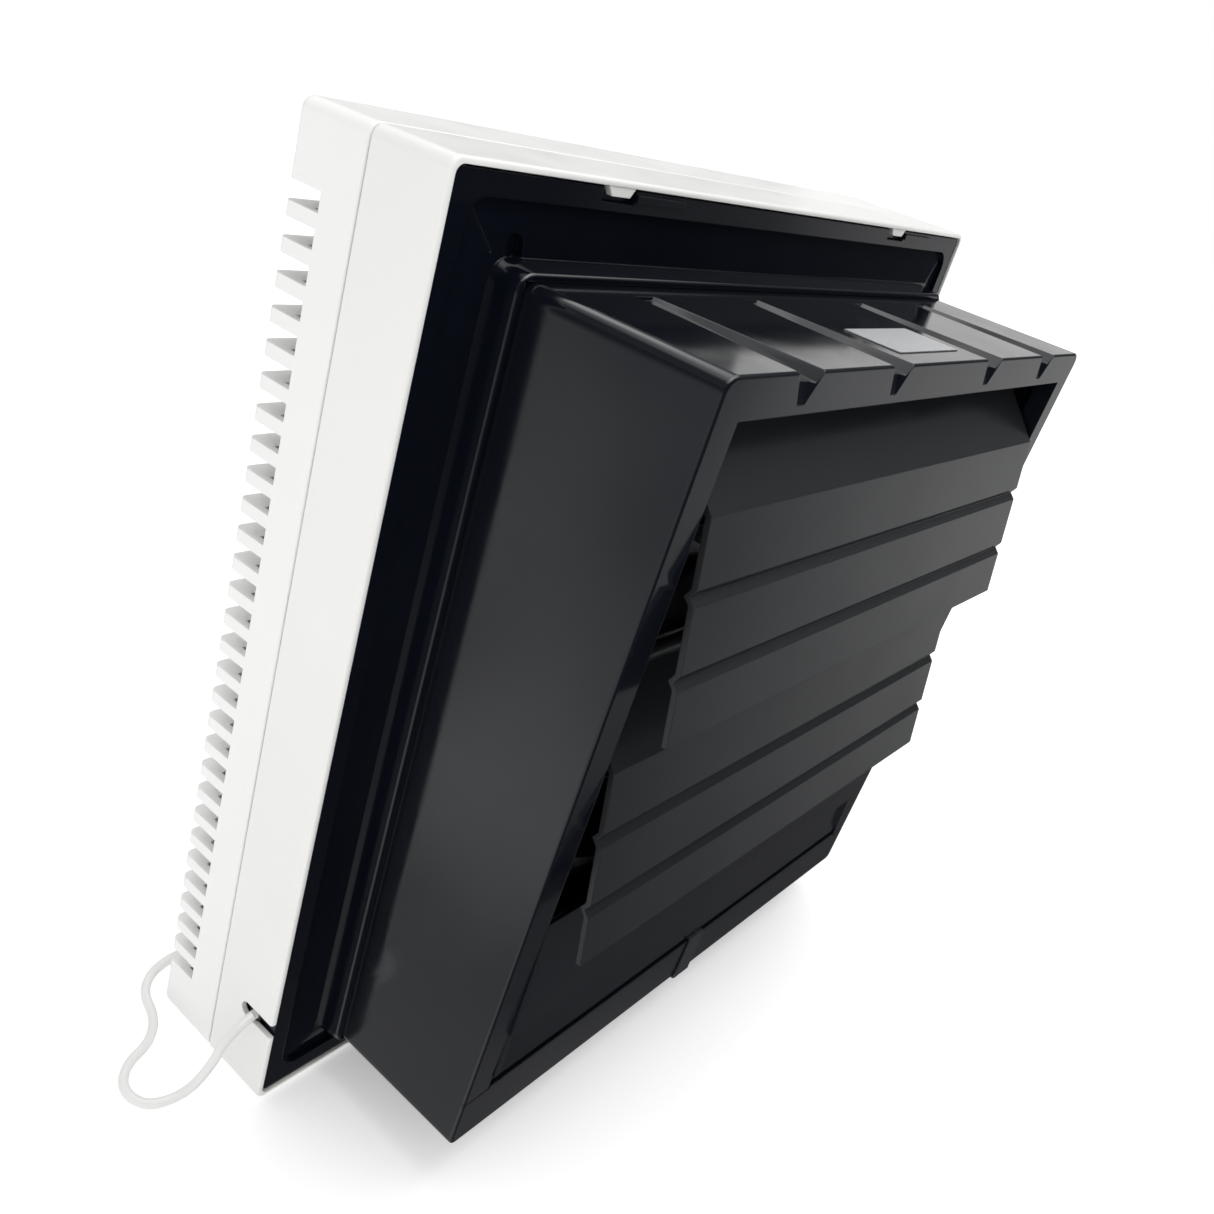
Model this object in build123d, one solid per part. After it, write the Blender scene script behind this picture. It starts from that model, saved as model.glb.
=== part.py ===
from build123d import *
import math
import os

# A square wall fan: a white frame and room grille indoors, and a black rain hood with two gravity
# flaps outdoors. It stands on the lower edge of its frame and grille.
#
# Every shape is drawn about the centre of the frame's rim face: X to the right seen from outdoors,
# -Y outdoors, +Y into the room, +Z up. save() then moves it to the row's origin, which is the bottom
# centre of the fan's box. All sizes are millimetres.

# ---------------------------------------------------------------- driving dimensions
SIZE = 345.0  # side of the square frame and grille
CORNER = 4.0  # their corner radius
FRAME_DEPTH = 31.0  # rim face to the seam
FRAME_WALL = 2.0
RIM_CORNER = 3.0  # corner radius inside the rim
SEAM = 0.6  # gap between the frame and the grille
GRILLE_DEPTH = 30.0

HOOD = 292.0  # outer side of the square hood
HOOD_DROP = 2.0  # the hood's centre is this far below the frame's
HOOD_REACH = 80.5  # rim face to the hood's front at its top edge
HOOD_LEAN = 10.0  # the front's lower edge is this much further back
HOOD_WALL = 2.0
FRONT_WALL = 2.4
POST = 12.0  # width of the hood's front posts
FASCIA = 13.0  # height of the band over the flaps

FLAP_PITCH = 88.0
FLAP_WALL = 2.0

RING_RADIUS = 125.0  # bore of the fan ring
SHAFT_RADIUS = 4.0
RUNNING = 0.05  # radial clearance of a running fit
GAP = 0.3  # clearance between pieces that only pass each other

CORD_DIAMETER = 3.6

# ---------------------------------------------------------------- derived places
HALF = SIZE / 2
FRAME_INNER = HALF - FRAME_WALL
GRILLE_BACK = FRAME_DEPTH + SEAM + GRILLE_DEPTH
HOOD_HALF = HOOD / 2
HOOD_TOP = HOOD_HALF - HOOD_DROP
HOOD_FOOT = -HOOD_HALF - HOOD_DROP
OPENING_HALF = HOOD_HALF - POST
OPENING_TOP = HOOD_TOP - FASCIA


def front_y(z):
    """Where the hood's leaning front plane is at height z."""
    return -HOOD_REACH + HOOD_LEAN * (HOOD_TOP - z) / HOOD


def hinge_y(z):
    """A hinge axis keeps the same distance from the leaning front plane."""
    return front_y(z) + HINGE_INSET


# body plate
PLATE_HALF = FRAME_INNER - 0.7
PLATE_CORNER = RIM_CORNER - 0.6
PLATE_FRONT = 0.8
PLATE_BACK = 5.5
PANEL_HALF = 163.0
PANEL_FLOOR = 3.0
PANEL_CORNER = 8.0
PANEL_RISE = 0.5  # y of the sloping panel where it meets the collar
POCKET_X = -141.0
POCKET_HALF = 3.8
POCKET_TOP = 150.2  # centre of its round top
POCKET_FLOOR = 3.4
MITRE_WIDTH = 0.7
MITRE_DEPTH = 0.45
MITRE_REACH = 0.78  # share of the way from the collar to the panel's corner
COLLAR_HALF = HOOD_HALF + 3.5
COLLAR_FRONT = -10.5
SKIRT_WALL = 2.4
SKIRT_BACK = 18.0

# hood flange and orifice plate, stacked behind the body plate
HOOD_FLANGE_HALF = 160.0
HOOD_BACK = 8.0
ORIFICE_FRONT = 8.1
ORIFICE_BACK = 10.6
ORIFICE_HALF = PLATE_HALF - SKIRT_WALL - 0.4

# two wall screws, driven from the room side, pass through the stack in the strip under the hood
MOUNT_X = 120.0
MOUNT_Z = -155.5
MOUNT_RADIUS = 2.25
PLATE_SCREW_RADIUS = 1.5
PLATE_SCREW_HOLE = 1.6
FOOT_SCREW_HOLE = 2.1

# flaps, as offsets from each hinge axis
HINGE_INSET = 20.9  # hinge axis to the hood's front plane
HINGE_TOP_Z = 127.0
CREASE = (-21.5, -23.5)
LIP = (-32.2, -93.5)
GROOVES = (24.0, 50.0)  # distances below the crease
GROOVE_DEPTH = 2.0
GROOVE_HALF = 2.6
FLAP_HALF = OPENING_HALF - 2.5
BARREL_RADIUS = 3.4
PIN_RADIUS = 2.0
PIN_HOLD = 14.0  # length of a pin inside the barrel
PIN_END = HOOD_HALF - HOOD_WALL - 2.0
BUSH_RADIUS = 5.0

# lower apron, between the posts under the flaps
APRON_TOP = -47.0
APRON_STEP = -98.0
APRON_FOOT = -126.0

# motor stack along +Y
MOTOR_FRONT = 14.0
MOTOR_SPLIT = 30.0
MOTOR_BACK = 46.0
MOTOR_RADIUS = 43.0
MOTOR_WALL = 2.5
BEARING_RADIUS = 11.0
BEARING_WIDTH = 7.0
ARM_THICKNESS = 3.0
ARM_WIDTH = 18.0
FOOT_RADIUS = 148.0

# cord exit through the frame's left wall
CORD_Y = 10.5
CORD_Z = -137.0
FLOOR_Z = -HALF

# the fan's box runs from the flap lips to the grille's face, and its centre is y = 0 of the row
LIP_REACH = -(hinge_y(HINGE_TOP_Z) + LIP[0])
RIM_Y = (LIP_REACH - GRILLE_BACK) / 2
TO_ROW = Pos(0, RIM_Y, HALF)


# ---------------------------------------------------------------- small helpers
def block(x, y, z):
    """A box between the low and high values given for x, y and z."""
    size = Box(x[1] - x[0], y[1] - y[0], z[1] - z[0])
    return Pos((x[0] + x[1]) / 2, (y[0] + y[1]) / 2, (z[0] + z[1]) / 2) * size


def prism(sketch, y0, y1):
    """Extrudes a sketch whose axes are x and z, from y0 to y1."""
    return extrude(Plane.XZ.offset(-y1) * sketch, amount=y1 - y0)


def square(half, radius=0.0, drop=0.0):
    """A square sketch about the fan's axis, or drop below it."""
    shape = RectangleRounded(2 * half, 2 * half, radius) if radius else Rectangle(2 * half, 2 * half)
    return Pos(0, -drop) * shape


def side_prism(points, x0, x1):
    """Extrudes an outline of (y, z) points from x0 to x1."""
    face = make_face(Polyline(*points, close=True))
    return extrude(Plane.YZ.offset(x0) * face, amount=x1 - x0)


def rod_y(radius, y0, y1, x=0.0, z=0.0):
    """A round bar along Y."""
    return prism(Pos(x, z) * Circle(radius), y0, y1)


def rod_x(radius, x0, x1, y, z):
    """A round bar along X."""
    return extrude(Plane.YZ.offset(x0) * Pos(y, z) * Circle(radius), amount=x1 - x0)


def square_cone(half0, drop0, y0, half1, drop1, y1, radius=1.0):
    """A solid between a square at y0 and another at y1."""
    low = Plane.XZ.offset(-y0) * square(half0, radius, drop0)
    high = Plane.XZ.offset(-y1) * square(half1, radius, drop1)
    return loft([low, high])


def save(shape, node):
    """Moves a shape to the row's origin and writes it as one node."""
    export_step(TO_ROW * shape, f"parts/{node}.step")


def group(shapes):
    """Several separate solids as one node."""
    return Compound(list(shapes))


def span(side, a, b):
    """The interval from a to b on one side of the middle, in rising order."""
    return tuple(sorted((side * a, side * b)))


def corners(x, z):
    """The four corners of a rectangle about the fan's axis."""
    return [(sx * x, sz * z) for sx in (-1, 1) for sz in (-1, 1)]


# ---------------------------------------------------------------- frame and grille
RIM_HOOK_X = 100.0
RIM_HOOK_ROOT = 15.0  # width where it leaves the rim
RIM_HOOK_TIP = 9.0
RIM_HOOK_DEPTH = 3.0
CATCH_LENGTH = 26.0
LEDGE_HALF = 160.0
LEDGE_FRONT = SKIRT_BACK + 0.1
LEDGE_BACK = LEDGE_FRONT + 3.0
FRAME_SCREW_X = 163.2
FRAME_SCREW_Z = 60.0
NOTCH_DEPTH = 17.0
NOTCH_HEIGHT = 6.0


def cord_notch():
    """The round-ended notch in the frame's left wall, open at the rim."""
    x = (-HALF - 1, -FRAME_INNER + 1)
    half = NOTCH_HEIGHT / 2
    slot = block(x, (-1, NOTCH_DEPTH - half), (CORD_Z - half, CORD_Z + half))
    return slot + rod_x(half, x[0], x[1], NOTCH_DEPTH - half, CORD_Z)


def rim_hook(x, side):
    """A tapered hook that reaches in from the rim."""
    root = side * (FRAME_INNER + 1)
    tip = side * (FRAME_INNER - RIM_HOOK_DEPTH)
    wide = [(x - RIM_HOOK_ROOT / 2, root), (x + RIM_HOOK_ROOT / 2, root)]
    narrow = [(x + RIM_HOOK_TIP / 2, tip), (x - RIM_HOOK_TIP / 2, tip)]
    return prism(make_face(Polyline(*wide, *narrow, close=True)), 0.3, 2.6)


def frame_shell():
    """The white outer frame, with its ledge and the hooks that hold the body plate."""
    shell = prism(square(HALF, CORNER), 0, FRAME_DEPTH)
    rim_edges = shell.faces().sort_by(Axis.Y)[0].edges()
    shell = fillet(rim_edges, 1.2)
    seam_edges = shell.faces().sort_by(Axis.Y)[-1].edges()
    shell = fillet(seam_edges, 0.8)
    shell -= prism(square(FRAME_INNER, RIM_CORNER), -1, FRAME_DEPTH + 1)
    ledge = square(FRAME_INNER + 1, CORNER - 1) - square(LEDGE_HALF, 3)
    shell += prism(ledge, LEDGE_FRONT, LEDGE_BACK)
    for x in (-RIM_HOOK_X, RIM_HOOK_X):
        for side in (-1, 1):
            shell += rim_hook(x, side)
    for x, z in frame_screw_places():
        shell -= rod_y(PLATE_SCREW_HOLE, LEDGE_FRONT - 1, LEDGE_BACK + 1, x, z)
    return shell - cord_notch()


def frame_screw_places():
    """Where four screws hold the frame's ledge to the body plate's skirt."""
    return corners(FRAME_SCREW_X, FRAME_SCREW_Z)


SLOTS = 29
SLOT_HEIGHT = 5.9
SLOT_DEPTH = 15.0
SLOT_BLOCK = 23.0  # plain height above the first slot and below the last
SLAT_DEPTH = 9.5
GRILLE_WALL = 3.0
RIB_X = (-112.0, -56.0, 56.0, 112.0)
RIB_HALF = 1.5
TONGUE = 6.0
TONGUE_WALL = 2.4


def room_grille():
    """The white grille: slots run right across its face and round onto both sides."""
    y0 = FRAME_DEPTH + SEAM
    y1 = GRILLE_BACK
    shell = prism(square(HALF, CORNER), y0, y1)
    shell = fillet(shell.faces().sort_by(Axis.Y)[-1].edges(), 2.5)
    shell = fillet(shell.faces().sort_by(Axis.Y)[0].edges(), 0.8)
    shell -= prism(square(HALF - GRILLE_WALL, 2), y0 - 1, y1 - SLAT_DEPTH)
    pitch = (SIZE - 2 * SLOT_BLOCK - SLOT_HEIGHT) / (SLOTS - 1)
    for i in range(SLOTS):
        z = -HALF + SLOT_BLOCK + i * pitch
        shell -= block((-HALF - 1, HALF + 1), (y1 - SLOT_DEPTH, y1 + 1), (z, z + SLOT_HEIGHT))
    for x in RIB_X:
        shell += block((x - RIB_HALF, x + RIB_HALF), (y1 - 11, y1 - 5), (-HALF + 5, HALF - 5))
    tongue_half = FRAME_INNER - 0.5
    hollow = square(tongue_half - TONGUE_WALL, 1)
    tongue = prism(square(tongue_half, RIM_CORNER - 0.2) - hollow, y0 - TONGUE, y0 + 3)
    step = prism(square(HALF - GRILLE_WALL + 0.5) - hollow, y0 + 0.5, y0 + 3)
    return shell + tongue + step


# ---------------------------------------------------------------- body plate
def body_plate():
    """The black plate inside the rim: a border, a mitred sloping panel, a collar and a skirt."""
    inner = COLLAR_HALF + 0.5
    plate = prism(square(PLATE_HALF, PLATE_CORNER), PLATE_FRONT, PLATE_BACK)
    plate -= prism(square(PANEL_HALF, PANEL_CORNER), PLATE_FRONT - 1, PANEL_FLOOR)
    plate += square_cone(inner, HOOD_DROP, PANEL_RISE, PANEL_HALF, 0, PANEL_FLOOR + 0.01)
    collar = square_cone(COLLAR_HALF - 1.2, HOOD_DROP, COLLAR_FRONT, COLLAR_HALF, HOOD_DROP, 1.0, 6)
    collar = fillet(collar.faces().sort_by(Axis.Y)[0].edges(), 1.2)
    plate += collar
    skirt = square(PLATE_HALF, PLATE_CORNER) - square(PLATE_HALF - SKIRT_WALL, 1)
    plate += prism(skirt, PLATE_BACK - 0.5, SKIRT_BACK)
    plate -= prism(square(HOOD_HALF + 0.2, 0, HOOD_DROP), COLLAR_FRONT - 1, PLATE_BACK + 1)
    for x in (-RIM_HOOK_X, RIM_HOOK_X):
        for side in (-1, 1):
            plate -= rim_hook_recess(x, side)
            plate += rim_catch(x, side)
    for x in (-MOUNT_X, MOUNT_X):
        plate -= rod_y(MOUNT_RADIUS, -2, PLATE_BACK + 1, x, MOUNT_Z)
    plate -= corner_pocket()
    for x, z in corners(1, 1):
        plate -= mitre_groove(x, z)
    for x, z in plate_screw_places():
        plate -= rod_y(PLATE_SCREW_RADIUS + RUNNING, 3.0, PLATE_BACK + 1, x, z - HOOD_DROP)
    for x, z in frame_screw_places():
        plate += frame_screw_boss(x, z)
    plate -= rod_x(2.9, -PLATE_HALF - 1, -PLATE_HALF + SKIRT_WALL + 1, CORD_Y, CORD_Z)
    return plate


def corner_pocket():
    """The shallow round-topped pocket beside the collar's upper left corner."""
    sides = (POCKET_X - POCKET_HALF, POCKET_X + POCKET_HALF)
    slot = block(sides, (-2, POCKET_FLOOR), (COLLAR_HALF - HOOD_DROP, POCKET_TOP))
    return slot + rod_y(POCKET_HALF, -2, POCKET_FLOOR, POCKET_X, POCKET_TOP)


def mitre_groove(sx, sz):
    """The fine groove along one diagonal of the sloping panel."""
    reach = COLLAR_HALF + 1
    inner = Vector(sx * reach, PANEL_RISE, sz * reach - HOOD_DROP)
    corner = Vector(sx * PANEL_HALF, PANEL_FLOOR, sz * PANEL_HALF)
    along = (corner - inner) * MITRE_REACH
    across = Vector(-sz, 0, sx)
    place = Plane(origin=inner + along / 2, x_dir=along, z_dir=along.cross(across))
    return place * Box(along.length, MITRE_WIDTH, 2 * MITRE_DEPTH)


def rim_hook_recess(x, side):
    """Room in the border for one of the frame's hooks."""
    z = side * (PLATE_HALF - RIM_HOOK_DEPTH / 2)
    half = RIM_HOOK_ROOT / 2 + 0.6
    reach = RIM_HOOK_DEPTH / 2 + 1.2
    return block((x - half, x + half), (-1, 3.2), (z - reach, z + reach))


def rim_catch(x, side):
    """The raised catch beside a hook."""
    start = x + RIM_HOOK_ROOT / 2 + 0.6
    z = side * (PLATE_HALF - 2.2)
    return block((start, start + CATCH_LENGTH), (-0.2, 1.5), (z - 1.2, z + 1.2))


def frame_screw_boss(x, z):
    """A boss inside the skirt that takes a frame screw."""
    sides = span(math.copysign(1, x), LEDGE_HALF, PLATE_HALF - SKIRT_WALL + 0.3)
    boss = block(sides, (ORIFICE_BACK + 0.4, SKIRT_BACK), (z - 5, z + 5))
    return boss - rod_y(1.2, ORIFICE_BACK, SKIRT_BACK + 1, x, z)


# ---------------------------------------------------------------- hood
CHANNEL_X = (-102.5, -41.0, 41.0, 102.5)
CHANNEL_START = -20.0
CHANNEL_TOP = (12.0, 17.0)  # top widths at its start and at the front
CHANNEL_FLOOR = (7.0, 10.5)
CHANNEL_DEPTH = (1.2, 3.8)
SPOUT_DROP = 10.0  # how far a channel runs down the fascia
LINER_HALF = 11.0
LINER_WALL = 2.2


def channel_section(x, y, top, floor, depth):
    """The trapezoid of one rain channel at y."""
    above = HOOD_TOP + 1
    rim = [(x - top / 2, above), (x + top / 2, above)]
    bed = [(x + floor / 2, HOOD_TOP - depth), (x - floor / 2, HOOD_TOP - depth)]
    return Plane.XZ.offset(-y) * make_face(Polyline(*rim, *bed, close=True))


def channel_cut(x):
    """A rain channel that widens and deepens to the front edge."""
    back = channel_section(x, CHANNEL_START, CHANNEL_TOP[0], CHANNEL_FLOOR[0], CHANNEL_DEPTH[0])
    front = channel_section(x, -HOOD_REACH - 1, CHANNEL_TOP[1], CHANNEL_FLOOR[1], CHANNEL_DEPTH[1])
    return loft([back, front])


def channel_spout(x):
    """The flare that carries a channel a little way down the fascia."""
    y = -HOOD_REACH

    def section(z, half, depth):
        front = [(x - half, y - 1), (x + half, y - 1)]
        back = [(x + 0.6 * half, y + depth), (x - 0.6 * half, y + depth)]
        return Plane.XY.offset(z) * make_face(Polyline(*front, *back, close=True))

    low = section(HOOD_TOP - SPOUT_DROP, 3.5, 0.45)
    return loft([low, section(HOOD_TOP + 0.5, CHANNEL_TOP[1] / 2, 3.2)])


def channel_liner(x):
    """The wall under a channel and behind its spout."""
    sides = (x - LINER_HALF, x + LINER_HALF)
    floor = HOOD_TOP - CHANNEL_DEPTH[1] - LINER_WALL
    under = block(sides, (-HOOD_REACH + 1, CHANNEL_START + 2), (floor, HOOD_TOP - 1))
    behind = block(sides, (-HOOD_REACH + 1, -HOOD_REACH + FRONT_WALL + 3), (OPENING_TOP, HOOD_TOP - 1))
    return under + behind


def hood_outside():
    """The hood's outer block, with its rounded edges."""
    outline = [
        (HOOD_BACK, HOOD_TOP),
        (front_y(HOOD_TOP), HOOD_TOP),
        (front_y(HOOD_FOOT), HOOD_FOOT),
        (HOOD_BACK, HOOD_FOOT),
    ]
    solid = side_prism(outline, -HOOD_HALF, HOOD_HALF)
    long_edges = solid.edges().filter_by(Axis.Y)
    solid = fillet(long_edges.group_by(Axis.Z)[-1], 5)
    long_edges = solid.edges().filter_by(Axis.Y)
    solid = fillet(long_edges.group_by(Axis.Z)[0], 3)
    return fillet(solid.faces().sort_by(Axis.Y)[0].edges(), 1.0)


def hood_inside():
    """The hood's hollow."""
    top = HOOD_TOP - HOOD_WALL
    foot = HOOD_FOOT + HOOD_WALL
    outline = [
        (HOOD_BACK + 1, top),
        (front_y(top) + FRONT_WALL, top),
        (front_y(foot) + FRONT_WALL, foot),
        (HOOD_BACK + 1, foot),
    ]
    return side_prism(outline, -HOOD_HALF + HOOD_WALL, HOOD_HALF - HOOD_WALL)


def post_return(side):
    """The lip that turns inward along the inner edge of a front post."""
    y_top = front_y(OPENING_TOP) + FRONT_WALL
    y_foot = front_y(APRON_FOOT) + FRONT_WALL
    outline = [
        (y_top - 1, OPENING_TOP),
        (y_top + 6, OPENING_TOP),
        (y_foot + 6, APRON_FOOT),
        (y_foot - 1, APRON_FOOT),
    ]
    return side_prism(outline, *span(side, OPENING_HALF, OPENING_HALF + 2))


def flap_stop(side, hinge_z):
    """The lug behind a flap's crease that holds it at its closed angle."""
    z = hinge_z + CREASE[1]
    y = hinge_y(hinge_z) + CREASE[0] + FLAP_WALL + 2.2
    return block(span(side, FLAP_HALF - 5, HOOD_HALF - HOOD_WALL + 0.5), (y, y + 4), (z - 5, z + 1))


def pivot_boss(side, hinge_z):
    """The ring on the hood's side wall that holds a flap bush."""
    x0, x1 = span(side, FLAP_HALF + 3.5, HOOD_HALF - HOOD_WALL + 0.5)
    return rod_x(BUSH_RADIUS + 2.2, x0, x1, hinge_y(hinge_z), hinge_z)


def hood_shell():
    """The black rain hood: four walls, a framed front opening, four channels and a rear flange."""
    shell = hood_outside() - hood_inside()
    shell -= block((-OPENING_HALF, OPENING_HALF), (-HOOD_REACH - 2, -40), (APRON_FOOT, OPENING_TOP))
    for x in CHANNEL_X:
        shell += channel_liner(x)
    for x in CHANNEL_X:
        shell -= channel_cut(x)
        shell -= channel_spout(x)
    flange = square(HOOD_FLANGE_HALF, 4, HOOD_DROP) - square(HOOD_HALF - 1, 0, HOOD_DROP)
    shell += prism(flange, PLATE_BACK + 0.1, HOOD_BACK)
    for side in (-1, 1):
        shell += post_return(side)
        for hinge_z in hinge_heights():
            shell += flap_stop(side, hinge_z)
            shell += pivot_boss(side, hinge_z)
    shell -= bush_seats()
    shell -= parting_line()
    for x in (-MOUNT_X, MOUNT_X):
        shell -= rod_y(MOUNT_RADIUS, PLATE_BACK, HOOD_BACK + 1, x, MOUNT_Z)
    for x, z in plate_screw_places():
        shell -= rod_y(PLATE_SCREW_HOLE, PLATE_BACK, HOOD_BACK + 1, x, z - HOOD_DROP)
    return shell - cord_way()


def bush_seats():
    """The bores of the four flap bushes, which stop inside the hood's side walls."""
    inner = FLAP_HALF + 3
    outer = HOOD_HALF - HOOD_WALL
    bores = [rod_x(BUSH_RADIUS, inner, outer, hinge_y(z), z) for z in hinge_heights()]
    bores += [rod_x(BUSH_RADIUS, -outer, -inner, hinge_y(z), z) for z in hinge_heights()]
    return group(bores)


def parting_line():
    """A thin groove across each post, in line with the apron's foot."""
    y = front_y(APRON_FOOT)
    left = block((-HOOD_HALF - 1, -OPENING_HALF + 1), (y - 2, y + 0.7), (APRON_FOOT - 0.9, APRON_FOOT))
    right = block((OPENING_HALF - 1, HOOD_HALF + 1), (y - 2, y + 0.7), (APRON_FOOT - 0.9, APRON_FOOT))
    return group([left, right])


def cord_way():
    """Room for the lead where it passes the rear flange and the orifice plate."""
    return block((-PLATE_HALF, -149.0), (PLATE_BACK, ORIFICE_BACK + 1), (CORD_Z - 3, CORD_Z + 3))


def hinge_heights():
    """The heights of the two flap hinges."""
    return (HINGE_TOP_Z, HINGE_TOP_Z - FLAP_PITCH)


def plate_screw_places():
    """Where eight screws clamp the orifice plate and the hood to the body plate."""
    return corners(154, 70) + corners(70, 154)


def lower_apron():
    """The fixed panel under the flaps: a flat face, a step, and a sill that slopes outward."""
    y_top = front_y(APRON_TOP)
    y_step = front_y(APRON_STEP) - 1.6
    y_sill = front_y(APRON_STEP) + 2.6
    y_foot = front_y(APRON_FOOT) + 0.9
    foot = APRON_FOOT + 2.0
    outline = [
        (y_top, APRON_TOP),
        (y_step, APRON_STEP),
        (y_sill, APRON_STEP - 1.8),
        (y_foot, foot),
        (y_foot + FRONT_WALL, foot),
        (y_sill + FRONT_WALL + 1, APRON_STEP - 1.0),
        (y_step + FRONT_WALL + 2, APRON_STEP + 2.5),
        (y_top + FRONT_WALL, APRON_TOP - 1),
    ]
    half = OPENING_HALF - GAP
    panel = side_prism(outline, -half, half)
    for side in (-1, 1):
        y = (y_top + FRONT_WALL - 0.5, y_top + 14)
        panel += block(span(side, half - 2.5, half), y, (foot + 4, APRON_TOP - 6))
    return panel


def apron_clip():
    """The small spring clip from the apron's foot down over the hood's lower band."""
    half = 5.5
    y = front_y(APRON_FOOT)
    y_foot = front_y(HOOD_FOOT)
    outline = [
        (y - 0.8, APRON_FOOT + 1.2),
        (y_foot - 1.1, HOOD_FOOT - 0.2),
        (y_foot - 0.3, HOOD_FOOT - 1.0),
        (y_foot + 9, HOOD_FOOT - 1.0),
        (y_foot + 9, HOOD_FOOT - 0.1),
        (y_foot - 0.2, HOOD_FOOT - 0.1),
        (y - 0.2, APRON_FOOT + 0.1),
        (y + 1.5, APRON_FOOT + 0.1),
        (y + 1.5, APRON_FOOT + 1.2),
    ]
    return side_prism(outline, -half, half)


def rating_label():
    """A blank silver plate on top of the hood, between the middle channels."""
    return block((-25, 25), (-71, -49), (HOOD_TOP, HOOD_TOP + 0.4))


# ---------------------------------------------------------------- flaps
def inward_normal(direction):
    """The unit normal of a (y, z) direction that points into the room."""
    normal = Vector(-direction.Y, direction.X)
    return normal if normal.X > 0 else normal * -1


def flap_outline(hinge_z):
    """The (y, z) outline of one flap: barrel edge, crease, two pressed grooves and a lip."""
    axis = Vector(hinge_y(hinge_z), hinge_z)
    crease = axis + Vector(*CREASE)
    lip = axis + Vector(*LIP)
    along = (lip - crease).normalized()
    inward = inward_normal(along)
    outer = [axis - Vector(1.0, 1.0), crease]
    for distance in GROOVES:
        centre = crease + along * distance
        outer.append(centre - along * GROOVE_HALF)
        outer.append(centre + inward * GROOVE_DEPTH)
        outer.append(centre + along * GROOVE_HALF)
    outer.append(lip)
    inner = [point + inward * FLAP_WALL for point in outer[2:]]
    upper_inward = inward_normal((crease - outer[0]).normalized())
    bend = crease + (inward + upper_inward).normalized() * FLAP_WALL * 1.04
    start = outer[0] + upper_inward * FLAP_WALL
    outline = outer + inner[::-1] + [bend, start]
    return [(point.X, point.Y) for point in outline]


def flap(hinge_z):
    """One gravity flap with its hinge barrel, bored at both ends for the pins."""
    panel = side_prism(flap_outline(hinge_z), -FLAP_HALF, FLAP_HALF)
    barrel = rod_x(BARREL_RADIUS, -FLAP_HALF, FLAP_HALF, hinge_y(hinge_z), hinge_z)
    body = panel + barrel
    for side in (-1, 1):
        x0, x1 = span(side, FLAP_HALF - PIN_HOLD, FLAP_HALF + 1)
        body -= rod_x(PIN_RADIUS, x0, x1, hinge_y(hinge_z), hinge_z)
    return body


def flap_pins(hinge_z):
    """The two steel pins in the ends of a flap's barrel."""
    pins = []
    for side in (-1, 1):
        x0, x1 = span(side, FLAP_HALF - PIN_HOLD, PIN_END)
        pins.append(rod_x(PIN_RADIUS, x0, x1, hinge_y(hinge_z), hinge_z))
    return group(pins)


def flap_bushes():
    """Four plain bushes in the hood that the flap pins turn in."""
    inner = FLAP_HALF + 1.5
    outer = HOOD_HALF - HOOD_WALL
    bushes = []
    for z in hinge_heights():
        y = hinge_y(z)
        for x0, x1 in ((-outer, -inner), (inner, outer)):
            bush = rod_x(BUSH_RADIUS, x0, x1, y, z)
            bushes.append(bush - rod_x(PIN_RADIUS + RUNNING, x0 - 1, x1 + 1, y, z))
    return group(bushes)


# ---------------------------------------------------------------- orifice plate and fan
RING_WALL = 2.4
RING_FRONT = -12.0
INLET_RADIUS = 5.0
BELL_WALL = 4.0  # extra wall round the inlet


def orifice_plate():
    """The inner plate with the round fan ring and its rounded inlet."""
    plate = prism(square(ORIFICE_HALF, 2), ORIFICE_FRONT, ORIFICE_BACK)
    plate += rod_y(RING_RADIUS + RING_WALL, RING_FRONT, ORIFICE_BACK)
    plate += rod_y(RING_RADIUS + RING_WALL + BELL_WALL, 0, ORIFICE_FRONT + 0.5)
    for x in (-MOUNT_X, MOUNT_X):
        plate -= rod_y(MOUNT_RADIUS, ORIFICE_FRONT - 1, ORIFICE_BACK + 1, x, MOUNT_Z)
    for x, z in plate_screw_places():
        plate -= rod_y(PLATE_SCREW_HOLE, ORIFICE_FRONT - 1, ORIFICE_BACK + 1, x, z - HOOD_DROP)
    for x, z in foot_places():
        plate -= rod_y(FOOT_SCREW_HOLE, ORIFICE_FRONT - 1, ORIFICE_BACK + 1, x, z)
    plate -= rod_y(RING_RADIUS, RING_FRONT - 1, ORIFICE_BACK + 1)
    rings = plate.edges().filter_by(GeomType.CIRCLE)
    bore_ends = rings.filter_by(lambda edge: abs(edge.radius - RING_RADIUS) < 0.01)
    plate = fillet(bore_ends.sort_by(Axis.Y)[-1], INLET_RADIUS)
    return plate - cord_way()


def foot_places():
    """Where the four bracket feet stand on the orifice plate."""
    return [(FOOT_RADIUS, 0), (-FOOT_RADIUS, 0), (0, FOOT_RADIUS), (0, -FOOT_RADIUS)]


def screw(x, z, head_y, length, radius, head_radius, head_height):
    """A round-headed screw: its head stands on head_y towards the room, its shank runs outdoors."""
    head = rod_y(head_radius, head_y, head_y + head_height, x, z)
    return head + rod_y(radius, head_y - length, head_y, x, z)


def plate_screws():
    """Eight screws through the orifice plate and the hood flange into the body plate."""
    places = [(x, z - HOOD_DROP) for x, z in plate_screw_places()]
    return group(screw(x, z, ORIFICE_BACK, 7.0, PLATE_SCREW_RADIUS, 3.2, 2.0) for x, z in places)


def frame_screws():
    """Four screws through the frame's ledge into the body plate's skirt."""
    return group(screw(x, z, LEDGE_BACK, 8.0, 1.2, 2.6, 1.8) for x, z in frame_screw_places())


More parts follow.
